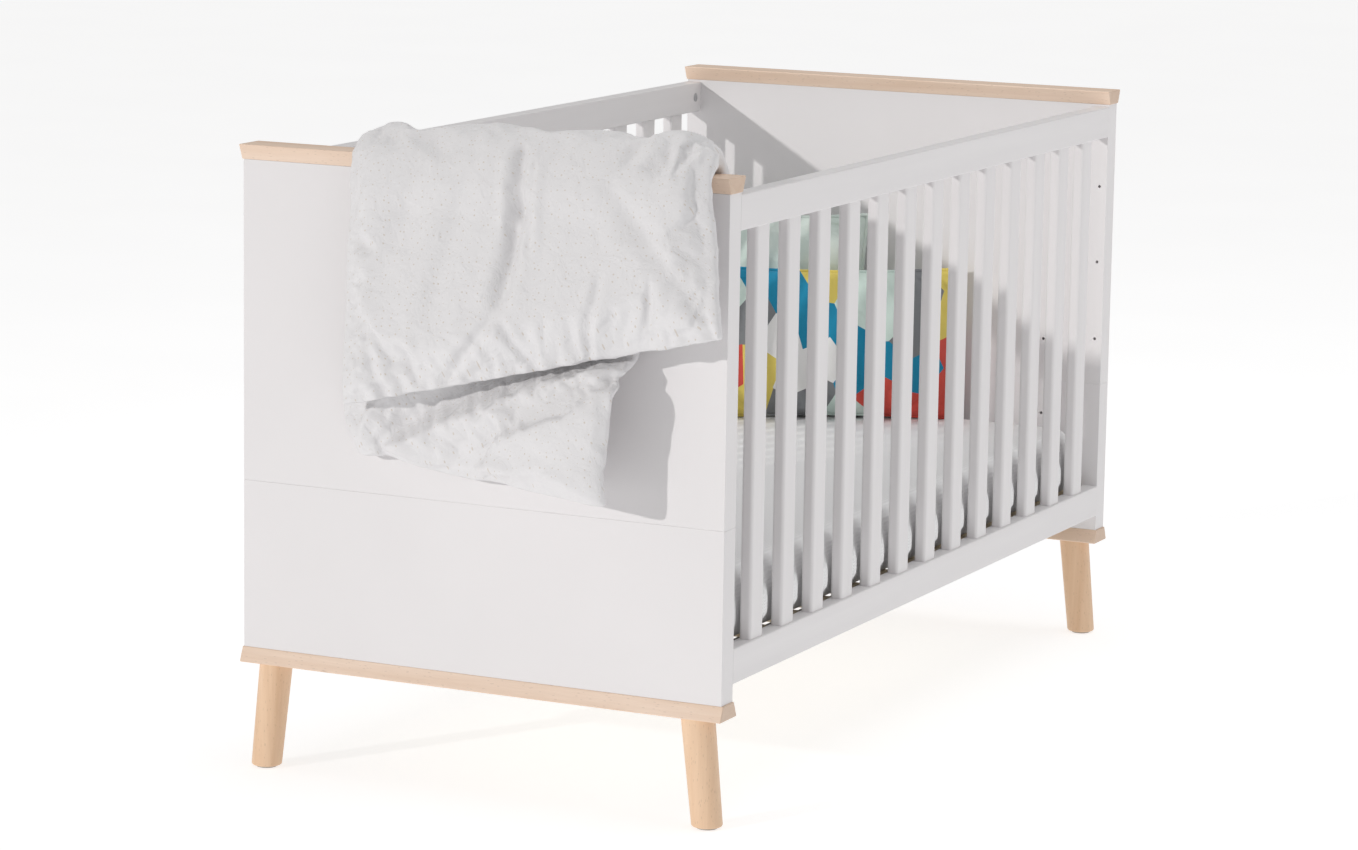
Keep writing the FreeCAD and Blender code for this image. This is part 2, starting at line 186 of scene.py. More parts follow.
def raise_surface(tree, surface, height, distance, below=None):
    """Bumps the surface by a height of 0 to 1 times a distance."""
    bump = add(tree, "Bump", height=height, distance=distance, strength=1.0)
    if below is not None:
        tree.links.new(below, bump.inputs["Normal"])
    tree.links.new(bump.outputs["Normal"], surface.inputs["Normal"])
    return bump.outputs["Normal"]


def object_place(tree):
    return add(tree, "TexCoord").outputs["Object"]


def stretched(tree, place, grain, share):
    """Coordinates drawn out along the grain."""
    scale = [1.0, 1.0, 1.0]
    scale[grain] = share
    return add(tree, "Mapping", vector=place, scale=scale).outputs["Vector"]


# ------------------------------------------------------------------ finishes of the hard parts
def lacquered_board(name, colour):
    """Satin lacquer rolled on a smooth board."""
    finish, tree, surface = start_finish(name)
    place = object_place(tree)
    cloud = add(tree, "TexNoise", vector=place, scale=3.0, detail=3.0).outputs["Fac"]
    peel = add(tree, "TexNoise", vector=place, scale=520.0, detail=2.0).outputs["Fac"]
    rub = add(tree, "TexNoise", vector=place, scale=28.0, detail=5.0, roughness=0.62).outputs["Fac"]
    darker = [c * 0.965 for c in colour]
    tree.links.new(tones(tree, cloud, (0.3, darker), (0.7, colour)), surface.inputs["Base Color"])
    tree.links.new(remap(tree, rub, 0.30, 0.50), surface.inputs["Roughness"])
    surface.inputs["Specular IOR Level"].default_value = 0.42
    raise_surface(tree, surface, peel, 0.00008)
    return finish


def lacquered_beech(name, colour, grain):
    """Satin lacquer through which the fine grain of beech still shows as relief."""
    finish, tree, surface = start_finish(name)
    place = object_place(tree)
    along = stretched(tree, place, grain, 0.05)
    fibre = add(tree, "TexNoise", vector=along, scale=420.0, detail=3.0, roughness=0.6).outputs["Fac"]
    band = add(tree, "TexNoise", vector=along, scale=30.0, detail=2.0, distortion=0.5).outputs["Fac"]
    darker = [c * 0.955 for c in colour]
    tree.links.new(tones(tree, band, (0.25, darker), (0.75, colour)), surface.inputs["Base Color"])
    tree.links.new(remap(tree, fibre, 0.30, 0.48), surface.inputs["Roughness"])
    surface.inputs["Specular IOR Level"].default_value = 0.42
    raise_surface(tree, surface, fibre, 0.00012)
    return finish


def bare_beech(name, light, dark, grain, roughness):
    """Oiled beech: soft growth bands, long fibres and the short dark ray flecks."""
    finish, tree, surface = start_finish(name)
    place = object_place(tree)
    along = stretched(tree, place, grain, 0.05)
    band = add(tree, "TexNoise", vector=along, scale=34.0, detail=4.0, distortion=0.9).outputs["Fac"]
    fibre = add(tree, "TexNoise", vector=along, scale=500.0, detail=2.0).outputs["Fac"]
    short = stretched(tree, place, grain, 0.22)
    rays = add(tree, "TexVoronoi", vector=short, scale=330.0, randomness=1.0)
    fleck = reckon(tree, "LESS_THAN", rays.outputs["Distance"], 0.17)
    wood = tones(tree, band, (0.28, dark), (0.5, [(a + b) / 2 for a, b in zip(light, dark)]), (0.72, light))
    threaded = blend_tones(tree, remap(tree, fibre, 0.0, 0.16), wood, [c * 0.55 for c in dark])
    flecked = blend_tones(tree, reckon(tree, "MULTIPLY", fleck, 0.28), threaded, [c * 0.5 for c in dark])
    spots = add(tree, "TexVoronoi", vector=stretched(tree, place, grain, 0.6), scale=9.0)
    knot = tones(tree, spots.outputs["Distance"], (0.025, (1, 1, 1)), (0.055, (0, 0, 0)))
    knotted = blend_tones(tree, reckon(tree, "MULTIPLY", knot, 0.65), flecked, [c * 0.45 for c in dark])
    facing = add(tree, "SeparateXYZ", vector=add(tree, "TexCoord").outputs["Normal"]).outputs["XYZ"[grain]]
    end = reckon(tree, "GREATER_THAN", reckon(tree, "ABSOLUTE", facing), 0.75)
    tree.links.new(blend_tones(tree, reckon(tree, "MULTIPLY", end, 0.5), knotted, [c * 0.7 for c in dark]),
                   surface.inputs["Base Color"])
    tree.links.new(remap(tree, fibre, roughness - 0.07, roughness + 0.10), surface.inputs["Roughness"])
    surface.inputs["Specular IOR Level"].default_value = 0.38
    raise_surface(tree, surface, fibre, 0.00014)
    return finish


def birch_ply(name, face, glue):
    """Sprung plywood slat: pale face veneer, with thin dark glue lines where the edge shows."""
    finish, tree, surface = start_finish(name)
    place = object_place(tree)
    along = stretched(tree, place, X, 0.05)
    fibre = add(tree, "TexNoise", vector=along, scale=260.0, detail=3.0).outputs["Fac"]
    level = add(tree, "SeparateXYZ", vector=place).outputs["Z"]
    ply = reckon(tree, "PINGPONG", level, 0.0008)
    line = reckon(tree, "LESS_THAN", ply, 0.00013)
    veneer = tones(tree, fibre, (0.3, [c * 0.86 for c in face]), (0.7, face))
    tree.links.new(blend_tones(tree, reckon(tree, "MULTIPLY", line, 0.5), veneer, glue),
                   surface.inputs["Base Color"])
    tree.links.new(remap(tree, fibre, 0.5, 0.68), surface.inputs["Roughness"])
    raise_surface(tree, surface, fibre, 0.0001)
    return finish


# Painted shade: the bed base frame under the mattress gets a near-black colour that stands for the shade in the
# gap below the mattress.
def shade_dark_lacquer(name, colour):
    finish, tree, surface = start_finish(name)
    place = object_place(tree)
    grain = add(tree, "TexNoise", vector=place, scale=900.0, detail=2.0).outputs["Fac"]
    cloud = add(tree, "TexNoise", vector=place, scale=9.0, detail=4.0).outputs["Fac"]
    tree.links.new(tones(tree, cloud, (0.3, [c * 0.8 for c in colour]), (0.7, [c * 1.2 for c in colour])),
                   surface.inputs["Base Color"])
    tree.links.new(remap(tree, grain, 0.42, 0.62), surface.inputs["Roughness"])
    raise_surface(tree, surface, grain, 0.00012)
    return finish


def zinc_plate(name, colour):
    finish, tree, surface = start_finish(name)
    place = object_place(tree)
    crystal = add(tree, "TexVoronoi", vector=place, scale=380.0).outputs["Color"]
    scratch = add(tree, "TexNoise", vector=stretched(tree, place, Z, 0.08), scale=900.0,
                  detail=3.0).outputs["Fac"]
    tint = add(tree, "SeparateColor", color=crystal).outputs["Red"]
    tree.links.new(tones(tree, tint, (0.0, [c * 0.86 for c in colour]), (1.0, colour)),
                   surface.inputs["Base Color"])
    surface.inputs["Metallic"].default_value = 1.0
    tree.links.new(remap(tree, scratch, 0.24, 0.44), surface.inputs["Roughness"])
    raise_surface(tree, surface, scratch, 0.00005)
    return finish


def pressed_felt(name, colour):
    finish, tree, surface = start_finish(name)
    place = object_place(tree)
    hair = add(tree, "TexNoise", vector=place, scale=1100.0, detail=4.0, distortion=1.5).outputs["Fac"]
    tree.links.new(tones(tree, hair, (0.3, [c * 0.7 for c in colour]), (0.7, colour)),
                   surface.inputs["Base Color"])
    tree.links.new(remap(tree, hair, 0.85, 1.0), surface.inputs["Roughness"])
    raise_surface(tree, surface, hair, 0.0004)
    return finish


# ------------------------------------------------------------------ finishes of the cloth
def woven(tree, surface, place, thread, soft, crease):
    """The relief of a plain weave over soft creases."""
    coarse = add(tree, "TexNoise", vector=place, scale=32.0, detail=5.0, roughness=0.58,
                 distortion=1.1).outputs["Fac"]
    bent = raise_surface(tree, surface, coarse, crease)
    fine = add(tree, "TexNoise", vector=place, scale=thread, detail=2.0).outputs["Fac"]
    raise_surface(tree, surface, fine, soft, below=bent)
    return fine


def fold_out(tree, place):
    """Flat pattern coordinates: across, and down the front or back over the top."""
    parts = add(tree, "SeparateXYZ", vector=place).outputs
    down = reckon(tree, "ADD", parts["Z"], parts["Y"])
    return add(tree, "CombineXYZ", x=parts["X"], y=down).outputs["Vector"]


def flecked_cotton(name, colour, fleck_colour):
    """White duvet cotton with a scatter of tiny beige flecks."""
    finish, tree, surface = start_finish(name)
    place = object_place(tree)
    flat = fold_out(tree, place)
    cells = add(tree, "TexVoronoi", vector=flat, scale=84.0, randomness=0.85,
                voronoi_dimensions="2D").outputs
    wide = add(tree, "SeparateColor", color=cells["Color"]).outputs["Green"]
    edge = remap(tree, wide, 0.04, 0.12)
    dot = reckon(tree, "LESS_THAN", cells["Distance"], edge)
    fine = woven(tree, surface, place, 1400.0, 0.00012, 0.0034)
    base = tones(tree, fine, (0.3, [c * 0.955 for c in colour]), (0.7, colour))
    tree.links.new(blend_tones(tree, reckon(tree, "MULTIPLY", dot, 0.42), base, fleck_colour),
                   surface.inputs["Base Color"])
    tree.links.new(remap(tree, fine, 0.78, 0.95), surface.inputs["Roughness"])
    surface.inputs["Sheen Weight"].default_value = 0.15
    surface.inputs["Specular IOR Level"].default_value = 0.2
    return finish


def plain_cotton(name, colour, other, print_scale):
    """Brushed cotton with a faint two-tone mottle."""
    finish, tree, surface = start_finish(name)
    place = object_place(tree)
    fine = woven(tree, surface, place, 1300.0, 0.00014, 0.0012)
    cloud = add(tree, "TexNoise", vector=place, scale=print_scale, detail=3.0).outputs["Fac"]
    base = tones(tree, cloud, (0.38, colour), (0.62, other))
    tree.links.new(blend_tones(tree, remap(tree, fine, 0.0, 0.12), base, [c * 0.6 for c in colour]),
                   surface.inputs["Base Color"])
    tree.links.new(remap(tree, fine, 0.8, 0.96), surface.inputs["Roughness"])
    surface.inputs["Sheen Weight"].default_value = 0.15
    surface.inputs["Specular IOR Level"].default_value = 0.2
    return finish


def patch_cotton(name, centre, turn, width, height, chart, tone_of):
    """Printed cotton: each letter of the chart is one straight-edged patch, met half way by its neighbours."""
    finish, tree, surface = start_finish(name)
    place = object_place(tree)
    local = add(tree, "Mapping", vector_type="TEXTURE", vector=place, location=centre,
                rotation=(0, 0, turn)).outputs["Vector"]
    parts = add(tree, "SeparateXYZ", vector=local).outputs
    flat = add(tree, "CombineXYZ", x=parts["X"], y=parts["Z"]).outputs["Vector"]
    nearest = shade = None
    for row, letters in enumerate(chart):
        for column, letter in enumerate(letters):
            stagger = 0.22 * (-1) ** row
            rise = 0.24 * (-1) ** column
            place_on_chart = Vector((column * 1.7 + 0.4, row * 2.3 + 0.3, 7.6))
            sway = noise.noise(place_on_chart)
            nod = noise.noise(place_on_chart + Vector((31.4, 17.2, 9.6)))
            middle = ((column + 0.5 + stagger + 0.6 * sway) / len(letters) - 0.5,
                      0.5 - (row + 0.5 + rise + 0.5 * nod) / len(chart))
            gap = add(tree, "VectorMath", operation="DISTANCE", vector=flat)
            gap.inputs[1].default_value = (middle[0] * width, middle[1] * height, 0)
            gap = gap.outputs["Value"]
            if nearest is None:
                nearest, shade = gap, tone_of[letter]
                continue
            closer = reckon(tree, "LESS_THAN", gap, nearest)
            nearest = reckon(tree, "MINIMUM", gap, nearest)
            shade = blend_tones(tree, closer, shade, tone_of[letter])
    fine = woven(tree, surface, place, 1300.0, 0.00014, 0.0012)
    tree.links.new(blend_tones(tree, remap(tree, fine, 0.0, 0.12), shade, (0.25, 0.25, 0.25)),
                   surface.inputs["Base Color"])
    tree.links.new(remap(tree, fine, 0.8, 0.96), surface.inputs["Roughness"])
    surface.inputs["Sheen Weight"].default_value = 0.1
    surface.inputs["Specular IOR Level"].default_value = 0.2
    return finish


def waffle_cotton(name, colour, pitch, depth):
    """Knitted cotton with a small square waffle, its low parts painted darker as shade."""
    finish, tree, surface = start_finish(name)
    place = object_place(tree)
    parts = add(tree, "SeparateXYZ", vector=place).outputs
    ridge = []
    for axis in (reckon(tree, "ADD", parts["X"], parts["Z"]), reckon(tree, "ADD", parts["Y"], parts["Z"])):
        ridge.append(reckon(tree, "DIVIDE", reckon(tree, "PINGPONG", axis, pitch / 2), pitch / 2))
    waffle = reckon(tree, "MAXIMUM", *ridge)
    fine = add(tree, "TexNoise", vector=place, scale=1300.0, detail=2.0).outputs["Fac"]
    # painted shade: the colour ramp darkens the low parts of the waffle relief
    tree.links.new(tones(tree, waffle, (0.2, [c * 0.90 for c in colour]), (0.9, colour)),
                   surface.inputs["Base Color"])
    tree.links.new(remap(tree, fine, 0.82, 0.97), surface.inputs["Roughness"])
    surface.inputs["Sheen Weight"].default_value = 0.1
    surface.inputs["Specular IOR Level"].default_value = 0.2
    raise_surface(tree, surface, reckon(tree, "ADD", waffle, reckon(tree, "MULTIPLY", fine, 0.3)), depth)
    return finish


# ------------------------------------------------------------------ putting finishes on the frame
lacquer_white = (0.785, 0.765, 0.772)
pale_beech = (0.87, 0.69, 0.56), (0.76, 0.56, 0.42)
leg_beech = (0.86, 0.62, 0.43), (0.74, 0.49, 0.31)
makers = {
    "white_lacquer": lambda grain: lacquered_board("white_lacquer", lacquer_white),
    "white_lacquered_beech": lambda grain: lacquered_beech(
        f"white_lacquered_beech_{'XYZ'[grain]}", lacquer_white, grain),
    "oiled_beech": lambda grain: bare_beech(
        f"oiled_beech_{'XYZ'[grain]}", *(leg_beech if grain == Z else pale_beech), grain, 0.44),
    # painted shade: the near-black frame colour stands for the shade under the mattress
    "anthracite_lacquer": lambda grain: shade_dark_lacquer("anthracite_lacquer", (0.05, 0.054, 0.06)),
    "birch_plywood": lambda grain: birch_ply("birch_plywood", (0.78, 0.66, 0.48), (0.30, 0.20, 0.12)),
    "zinc_steel": lambda grain: zinc_plate("zinc_steel", (0.66, 0.67, 0.68)),
    "beech_dowel": lambda grain: bare_beech(
        "beech_dowel", (0.74, 0.57, 0.40), (0.62, 0.45, 0.30), Z, 0.6),
    "glide_felt": lambda grain: pressed_felt("glide_felt", (0.52, 0.49, 0.45)),
}
finishes = {}
for part in frame["record"]["subparts"]:
    if part["material_slot"] not in makers:
        continue
    low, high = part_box(part["node"])
    size = high - low
    grain = max((X, Y, Z), key=lambda axis: size[axis])
    key = (part["material_slot"], grain)
    if key not in finishes:
        finishes[key] = makers[part["material_slot"]](grain)
    skin = frame["nodes"][part["node"]].data
    skin.materials.clear()
    skin.materials.append(finishes[key])


# ------------------------------------------------------------------ modelling helpers
def only(piece):
    """Selects one piece and nothing else."""
    if bpy.context.object and bpy.context.object.mode != "OBJECT":
        bpy.ops.object.mode_set(mode="OBJECT")
    bpy.ops.object.select_all(action="DESELECT")
    piece.select_set(True)
    bpy.context.view_layer.objects.active = piece


def apply_modifier(piece, kind, **settings):
    """Adds one modifier with its settings and applies it."""
    only(piece)
    bpy.ops.object.modifier_add(type=kind)
    made = piece.modifiers[-1]
    for name, value in settings.items():
        setattr(made, name, value)
    bpy.ops.object.modifier_apply(modifier=made.name)


def grid_piece(name, columns, rows):
    """A flat grid of one by one, centred on the origin."""
    bpy.ops.object.select_all(action="DESELECT")
    bpy.ops.mesh.primitive_grid_add(x_subdivisions=columns, y_subdivisions=rows, size=1)
    piece = bpy.context.object
    piece.name = name
    return piece


def reshape(piece, rule):
    """Moves every point of a piece to where the rule puts it."""
    for point in piece.data.vertices:
        point.co = rule(point.co.copy())
    piece.data.update()


def weigh(piece, name, rule):
    """A vertex group whose weights come from a rule on each point."""
    group = piece.vertex_groups.new(name=name)
    for point in piece.data.vertices:
        group.add([point.index], rule(point.co), "REPLACE")
    return group


def ease(share):
    """A smooth step from 0 to 1."""
    share = min(1.0, max(0.0, share))
    return share * share * (3 - 2 * share)


def swell(piece, held, pressure, slack, reach):
    """Fills a closed cloth with pressure; the held group stays, and no point moves past its reach."""
    rest = [point.co.copy() for point in piece.data.vertices]
    only(piece)
    bpy.ops.object.modifier_add(type="CLOTH")
    cloth = piece.modifiers[-1]
    fabric = cloth.settings
    fabric.quality = 6
    fabric.mass = 0.25
    fabric.tension_stiffness = fabric.compression_stiffness = 18
    fabric.shear_stiffness = 6
    fabric.bending_stiffness = 0.25
    fabric.use_pressure = True
    fabric.uniform_pressure_force = pressure
    fabric.shrink_min = -slack
    fabric.vertex_group_mass = held
    fabric.effector_weights.gravity = 0
    cloth.collision_settings.use_collision = False
    cloth.collision_settings.use_self_collision = False
    cloth.point_cache.frame_start, cloth.point_cache.frame_end = 1, swell_frames
    for step in range(1, swell_frames + 1):
        scene.frame_set(step)
    bpy.ops.object.modifier_apply(modifier=cloth.name)
    scene.frame_set(1)
    for point, before in zip(piece.data.vertices, rest):
        shift = point.co - before
        if shift.length > reach:
            point.co = before + shift * (reach / shift.length)


def finish_cloth(piece, finish, body, replaced=None):
    """Smooths, paints and seats a soft piece."""
    only(piece)
    bpy.ops.object.shade_smooth()
    piece.vertex_groups.clear()
    piece.data.materials.clear()
    piece.data.materials.append(finish)
    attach(piece, body)
    if replaced:
        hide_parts(replaced)


def tube_round(name, line, radius):
    """A closed round cord through the points of a line."""
    curve = bpy.data.curves.new(name, "CURVE")
    curve.dimensions = "3D"
    curve.bevel_depth = radius
    curve.bevel_resolution = 3
    strand = curve.splines.new("POLY")
    strand.points.add(len(line) - 1)
    for point, place in zip(strand.points, line):
        point.co = (*place, 1)
    strand.use_cyclic_u = True
    cord = bpy.data.objects.new(name, curve)
    scene.collection.objects.link(cord)
    only(cord)
    bpy.ops.object.convert(target="MESH")
    return bpy.context.object


# ------------------------------------------------------------------ duvet over the foot board
duvet_path = [Vector((board_inner + 0.025, z)) for z in (duvet_inner_hem, 0.70, 0.76, 0.82, 0.87)]
duvet_path += [Vector(p) for p in ((board_inner + 0.022, 0.905), (board_inner + 0.004, 0.928),
                                   (board_inner - 0.024, 0.934), (cap_front - 0.012, 0.930),
                                   (cap_front - 0.036, 0.912), (cap_front - 0.046, 0.880))]
duvet_path += [Vector((cap_front - 0.047 - 0.007 * step, 0.84 - 0.05 * step)) for step in range(8)]
path_marks = [0.0]
for first, second in zip(duvet_path, duvet_path[1:]):
    path_marks.append(path_marks[-1] + (second - first).length)


def along_path(distance):
    """The place (y, z) at a distance along the duvet's line over the board."""
    for number in range(len(duvet_path) - 1):
        if distance <= path_marks[number + 1] or number == len(duvet_path) - 2:
            share = (distance - path_marks[number]) / (path_marks[number + 1] - path_marks[number])
            return duvet_path[number].lerp(duvet_path[number + 1], share)


def hem_height(x):
    return duvet_hem_middle + duvet_hem_slope * x


def duvet_drop(x):
    """The length of path down to the hem at a given place across."""
    goal = hem_height(x)
    low, high = path_marks[10], path_marks[-1]
    for _ in range(20):
        middle = (low + high) / 2
        if along_path(middle).y > goal:
            low = middle
        else:
            high = middle
    return low


def draped(point):
    """A point of the flat cloth laid over the board."""
    across, down = point.x + 0.5, point.y + 0.5
    middle = duvet_left_low + (duvet_right_low - duvet_left_low) * across
    y, z = along_path(down * duvet_drop(middle))
    front = ease((0.93 - z) / 0.12) if y < board_outer else 0.0
    right = duvet_right_top
    if y < cap_front:
        right = min(duvet_right_low, duvet_right_top + 0.016 + 0.165 * (0.945 - z))
    left = duvet_left_top + (duvet_left_low - duvet_left_top) * max(front, 0.4)
    x = left + (right - left) * across
    ripple = 0.006 * noise.noise(Vector((x * 9, z * 2.5, 3.0))) * ease((z - 0.5) / 0.3)
    lift = 0.001 * noise.noise(Vector((x * 11, 7.0, 1.0))) * (abs(y - (board_outer + board_inner) / 2) < 0.06)
    return Vector((x, y - abs(ripple) * (y < board_outer), z + lift))


def duvet_fill(point):
    """How full the duvet is at a point of the flat cloth: thin along its four edges."""
    across, down = abs(point.x) * 2, abs(point.y) * 2
    edge = min(1 - across, 1 - down)
    return duvet_rim_share + (1 - duvet_rim_share) * ease(edge / 0.22) ** 0.6


def clear_of_board(point):
    """Pushes a point of the duvet out of the foot board and its cap."""
    gap = duvet_clear
    if cap_front - gap < point.y < cap_back + gap and point.z < cap_top + gap:
        outside, inside = point.y - (cap_front - gap), (cap_back + gap) - point.y
        above = cap_top + gap - point.z
        if above < min(outside, inside):
            point.z = cap_top + gap
        elif outside < inside:
            point.y = cap_front - gap
        else:
            point.y = cap_back + gap
    return point


def along_crease(x, z, start, end):
    """How far down a crease a place is, and how far to its side."""
    run = Vector(end) - Vector(start)
    off = Vector((x, z)) - Vector(start)
    share = off.dot(run) / run.length_squared
    return share, (off.x * run.y - off.y * run.x) / run.length


def creased(point):
    """The ragged pleat down the front, the creases that fan from it, and the puckered hem."""
    over = ease((point.z - cap_top - 0.015) / 0.02)
    point.z += over * 0.009 * ease((point.x + 0.10) / 0.16)
    if point.y > cap_front - 0.02:
        return point
    x, z = point.x, point.z
    outside = ease((cap_front - 0.030 - point.y) / 0.02)
    depth = 0.0
    for start, end, width, deep in duvet_creases:
        share, side = along_crease(x, z, start, end)
        side += 0.30 * width * noise.noise(Vector((x * 8, z * 46, 1.0)))
        fade = ease((share + 0.12) / 0.25) * ease((1.12 - share) / 0.25)
        depth += deep * fade * (math.exp(-(side / width) ** 2)
                                - 0.35 * math.exp(-((abs(side) - 2.4 * width) / (1.3 * width)) ** 2))
    up = z - hem_height(x)
    gather = 1 - 2.4 * abs(noise.noise(Vector((x * 30 + 2.2 * up, up * 7, 5.0))))
    depth += 0.0075 * max(0.0, gather) * math.exp(-max(0.0, up - 0.01) / 0.055)
    stitch = math.exp(-(((up - 0.014) / 0.007) ** 2))
    depth += stitch * (0.0028 + 0.0020 * noise.noise(Vector((x * 75, 1.0, 5.0))))
    drift = 1 - 2.0 * abs(noise.noise(Vector((x * 7 - z * 3, z * 3.5, 8.0))))
    depth += 0.0065 * drift
    point.y += outside * depth
    point.z += 0.004 * noise.noise(Vector((x * 26, 2.0, 9.0))) * math.exp(-max(0.0, up) / 0.03)
    return point


duvet_cloth = flecked_cotton("duvet_cotton", (0.745, 0.735, 0.745), (0.50, 0.40, 0.28))
duvet = grid_piece("draped_duvet", 90, 120)
weigh(duvet, "fill", duvet_fill)
weigh(duvet, "flat_edge", lambda point: 1.0)
reshape(duvet, draped)
apply_modifier(duvet, "SOLIDIFY", thickness=duvet_thickness, offset=0, vertex_group="fill",
               thickness_vertex_group=0.0, use_rim=True)
apply_modifier(duvet, "REMESH", mode="VOXEL", voxel_size=duvet_voxel)
reshape(duvet, clear_of_board)


def duvet_held(point):
    """The duvet is held along its edges and where it bears on the cap."""
    right = duvet_right_top
    if point.y < cap_front:
        right = min(duvet_right_low, duvet_right_top + 0.016 + 0.165 * (0.945 - point.z))
    left = duvet_left_low if point.z < 0.90 else duvet_left_top
    edge = min(point.x - left, right - point.x)
    if point.y < cap_front:
        edge = min(edge, point.z - hem_height(point.x))
    elif point.y > cap_back:
        edge = min(edge, point.z - duvet_inner_hem)
    bearing = 1.0 if abs(point.z - cap_top) < 0.008 and point.y > cap_front else 0.0
    return max(bearing, 1.0 - ease((edge - 0.004) / 0.022))


duvet.vertex_groups.clear()
weigh(duvet, "held", duvet_held)
swell(duvet, "held", 3.0, 0.07, 0.016)
reshape(duvet, creased)
reshape(duvet, clear_of_board)
apply_modifier(duvet, "SUBSURF", levels=1, render_levels=1)
finish_cloth(duvet, duvet_cloth, "hung_duvet", "duvet")


# ------------------------------------------------------------------ lower layer of the folded duvet
def under_laid(point):
    """A point of the flat cloth in the lower fold, which fans out from its left tip."""
    across, up = point.x + 0.5, point.y + 0.5
    low = under_tip_z + (under_low_right - under_tip_z) * across - 0.010 * math.sin(math.pi * across)
    top = hem_height(under_left + (under_right - under_left) * across) + 0.045
    z = low + (top - low) * up
    left = under_tip_x - 0.026 * ease(up * 2.0)
    right = under_right - 0.018 * (1 - ease(up * 1.5))
    x = left + (right - left) * across
    below = ease((hem_height(x) + 0.005 - z) / 0.07)
    y = cap_front - 0.016 - 0.066 * below * ease((across - 0.30) / 0.70)
    return Vector((x, y, z))


def under_folds(point):
    """Folds that fan out from the left tip, and the puckered right edge."""
    run = Vector((point.x - under_tip_x + 0.01, point.z - under_tip_z + 0.01))
    angle = math.degrees(math.atan2(run.y, run.x))
    angle += 2 * noise.noise(Vector((run.length * 6, 1.0, 0)))
    grown = ease(run.length / 0.09)
    depth = 0.0
    for ridge, spread, rise in under_ridges:
        depth -= rise * grown * math.exp(-(((angle - ridge) / spread) ** 2))
    depth += 0.002 * (1 - 2 * abs(noise.noise(Vector((point.x * 10 + point.z * 16, point.z * 6, 2.0)))))
    front = ease((cap_front - 0.016 - point.y) / 0.02)
    edge = under_right - 0.016 - point.x
    pucker = noise.noise(Vector((4.0, point.z * 55, point.x * 20)))
    depth += (0.003 + 0.003 * pucker) * math.exp(-((edge / 0.008) ** 2))
    point.y += front * depth
    return point


under = grid_piece("duvet_lower_fold", 60, 40)
weigh(under, "fill", lambda point: 0.34 + 0.66 * ease(min(0.5 - abs(point.x), 0.5 + point.y) / 0.16) ** 0.6)
reshape(under, under_laid)
apply_modifier(under, "SOLIDIFY", thickness=under_thickness, offset=0, vertex_group="fill",
               thickness_vertex_group=0.0, use_rim=True)
apply_modifier(under, "REMESH", mode="VOXEL", voxel_size=under_voxel)
under.vertex_groups.clear()
weigh(under, "held", lambda point: 1.0 - ease((hem_height(point.x) + 0.01 - point.z) / 0.03))
swell(under, "held", 3.0, 0.07, 0.010)
reshape(under, under_folds)
reshape(under, lambda point: Vector((point.x, min(point.y, cap_front - duvet_clear), point.z)))
apply_modifier(under, "SUBSURF", levels=1, render_levels=1)
finish_cloth(under, duvet_cloth, "hung_duvet")


# ------------------------------------------------------------------ cushions
def cushion(name, width, height, depth, turn, lean, place, finish, body, replaced):
    """A knife-edge cushion with piping round its seam, standing on the bed."""
    pull = 0.055
    stand = Matrix.Translation(Vector((*place, bed_top + height / 2 + 0.002)))
    stand = stand @ Euler((-lean, 0, turn)).to_matrix().to_4x4()

    def outline(across, up):
        x = width / 2 * across * (1 - pull * across * across * (1 - up * up))
        z = height / 2 * up * (1 - pull * up * up * (1 - across * across))
        return Vector((x, 0, z))

    cover = grid_piece(name, 84, 60)
    weigh(cover, "fill", lambda p: max(0.10, ((1 - 4 * p.x * p.x) * (1 - 4 * p.y * p.y)) ** cushion_fullness))
    reshape(cover, lambda p: outline(p.x * 2, p.y * 2))
    apply_modifier(cover, "SOLIDIFY", thickness=depth * 0.86, offset=0, vertex_group="fill",
                   thickness_vertex_group=0.0, use_rim=True)
    apply_modifier(cover, "REMESH", mode="VOXEL", voxel_size=cushion_voxel)
    cover.vertex_groups.clear()

    def seam_hold(p):
        side = width / 2 * (1 - pull * (1 - (2 * p.z / height) ** 2)) - abs(p.x)
        end = height / 2 * (1 - pull * (1 - (2 * p.x / width) ** 2)) - abs(p.z)
        return 1.0 - ease((min(side, end) - 0.004) / 0.012)

    weigh(cover, "held", seam_hold)
    swell(cover, "held", 4.0, 0.05, 0.018)
    apply_modifier(cover, "SUBSURF", levels=1, render_levels=1)
    cover.data.transform(stand)
    floor_gap = bed_top + 0.0006
    reshape(cover, lambda p: Vector((p.x, p.y, max(p.z, floor_gap))))
    finish_cloth(cover, finish, body, replaced)
    steps = [-1 + 2 * number / 40 for number in range(40)]
    line = [outline(s, -1) for s in steps] + [outline(1, s) for s in steps]
    line += [outline(-s, 1) for s in steps] + [outline(-1, -s) for s in steps]
    piping = tube_round(name + "_piping", [stand @ point for point in line], piping_radius)
    reshape(piping, lambda p: Vector((p.x, p.y, max(p.z, floor_gap))))
    finish_cloth(piping, finish, body)
    return cover


tone_of = {"b": (0.0, 0.24, 0.41), "y": (0.74, 0.60, 0.13), "m": (0.62, 0.75, 0.69),
           "g": (0.20, 0.21, 0.22), "r": (0.62, 0.07, 0.05), "w": (0.82, 0.82, 0.81)}
quilt_chart = ("mbbymmgy",
               "ggwbbmgy",
               "rywwbbbr",
               "yyggmrrr")
patchwork = patch_cotton("patchwork_cotton", patch_place, patch_turn, patch_width, patch_height,
                         quilt_chart, tone_of)
mint_print = plain_cotton("mint_cotton", (0.60, 0.70, 0.65), (0.68, 0.75, 0.71), 14.0)
cushion("patchwork_cushion_cover", patch_width, patch_height, patch_depth, patch_turn, patch_lean,
        patch_place[:2], patchwork, "front_cushion", "patchwork_cushion")
cushion("mint_cushion_cover", mint_width, mint_height, mint_depth, mint_turn, mint_lean,
        mint_place, mint_print, "back_cushion", "mint_cushion")


